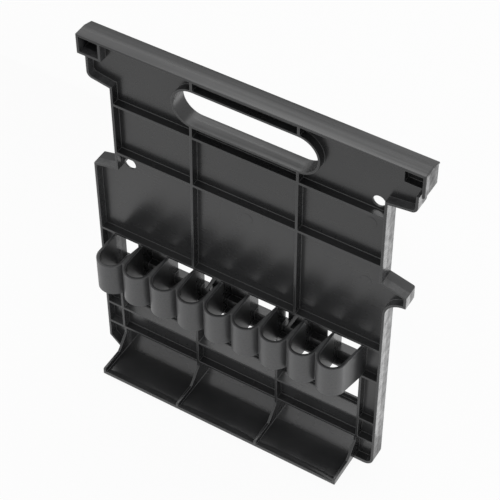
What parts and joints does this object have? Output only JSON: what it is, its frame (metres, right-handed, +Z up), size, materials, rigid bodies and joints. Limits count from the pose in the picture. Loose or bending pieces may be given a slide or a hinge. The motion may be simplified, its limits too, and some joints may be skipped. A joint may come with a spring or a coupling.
{
  "type": "tool holder panel",
  "caption": "Ribbed plastic tool holder panel for a workshop cart, with a handle slot, a row of open tool loops, windows and a shallow divided tray.",
  "frame": {"origin": "underside of the foot, midway between the neck's side walls and midway between the front and back rims", "axes": "+Z up towards the rail, +X to the right seen from the front, the front with the loops and tray faces -Y"},
  "size_m": [0.302, 0.058, 0.3653],
  "materials": {
    "black_plastic": "satin moulded black plastic with a very fine grain"
  },
  "bodies": {
    "root": {"top_rail": "black_plastic", "left_rail_box": "black_plastic", "right_rail_box": "black_plastic", "left_shoulder": "black_plastic", "right_shoulder": "black_plastic", "handle_collar": "black_plastic", "neck_plate": "black_plastic", "left_neck_wall": "black_plastic", "right_neck_wall": "black_plastic", "upper_neck_rib": "black_plastic", "lower_neck_rib": "black_plastic", "left_rib_top": "black_plastic", "left_rib_middle": "black_plastic", "left_rib_bottom": "black_plastic", "right_rib_top": "black_plastic", "right_rib_middle": "black_plastic", "right_rib_bottom": "black_plastic", "left_ear": "black_plastic", "right_hook": "black_plastic", "body_plate": "black_plastic", "left_side_wall": "black_plastic", "right_side_wall": "black_plastic", "body_bar": "black_plastic", "window_bar": "black_plastic", "lower_bar": "black_plastic", "tray_bar": "black_plastic", "left_column_plate": "black_plastic", "right_column_plate": "black_plastic", "lower_plate": "black_plastic", "window_lip": "black_plastic", "window_upright_1": "black_plastic", "window_upright_2": "black_plastic", "window_upright_3": "black_plastic", "window_upright_4": "black_plastic", "lower_upright_1": "black_plastic", "lower_upright_2": "black_plastic", "lower_upright_3": "black_plastic", "lower_upright_4": "black_plastic", "tool_loop_1": "black_plastic", "tool_loop_2": "black_plastic", "tool_loop_3": "black_plastic", "tool_loop_4": "black_plastic", "tool_loop_5": "black_plastic", "tool_loop_6": "black_plastic", "tool_loop_7": "black_plastic", "tool_loop_8": "black_plastic", "tool_loop_9": "black_plastic", "window_sill": "black_plastic", "back_panel_1": "black_plastic", "back_panel_2": "black_plastic", "back_panel_3": "black_plastic", "window_brace_1": "black_plastic", "window_brace_2": "black_plastic", "foot_rail": "black_plastic", "tray_floor": "black_plastic", "tray_divider_1": "black_plastic", "tray_divider_2": "black_plastic", "tray_divider_3": "black_plastic", "tray_divider_4": "black_plastic"}
  },
  "joints": []
}
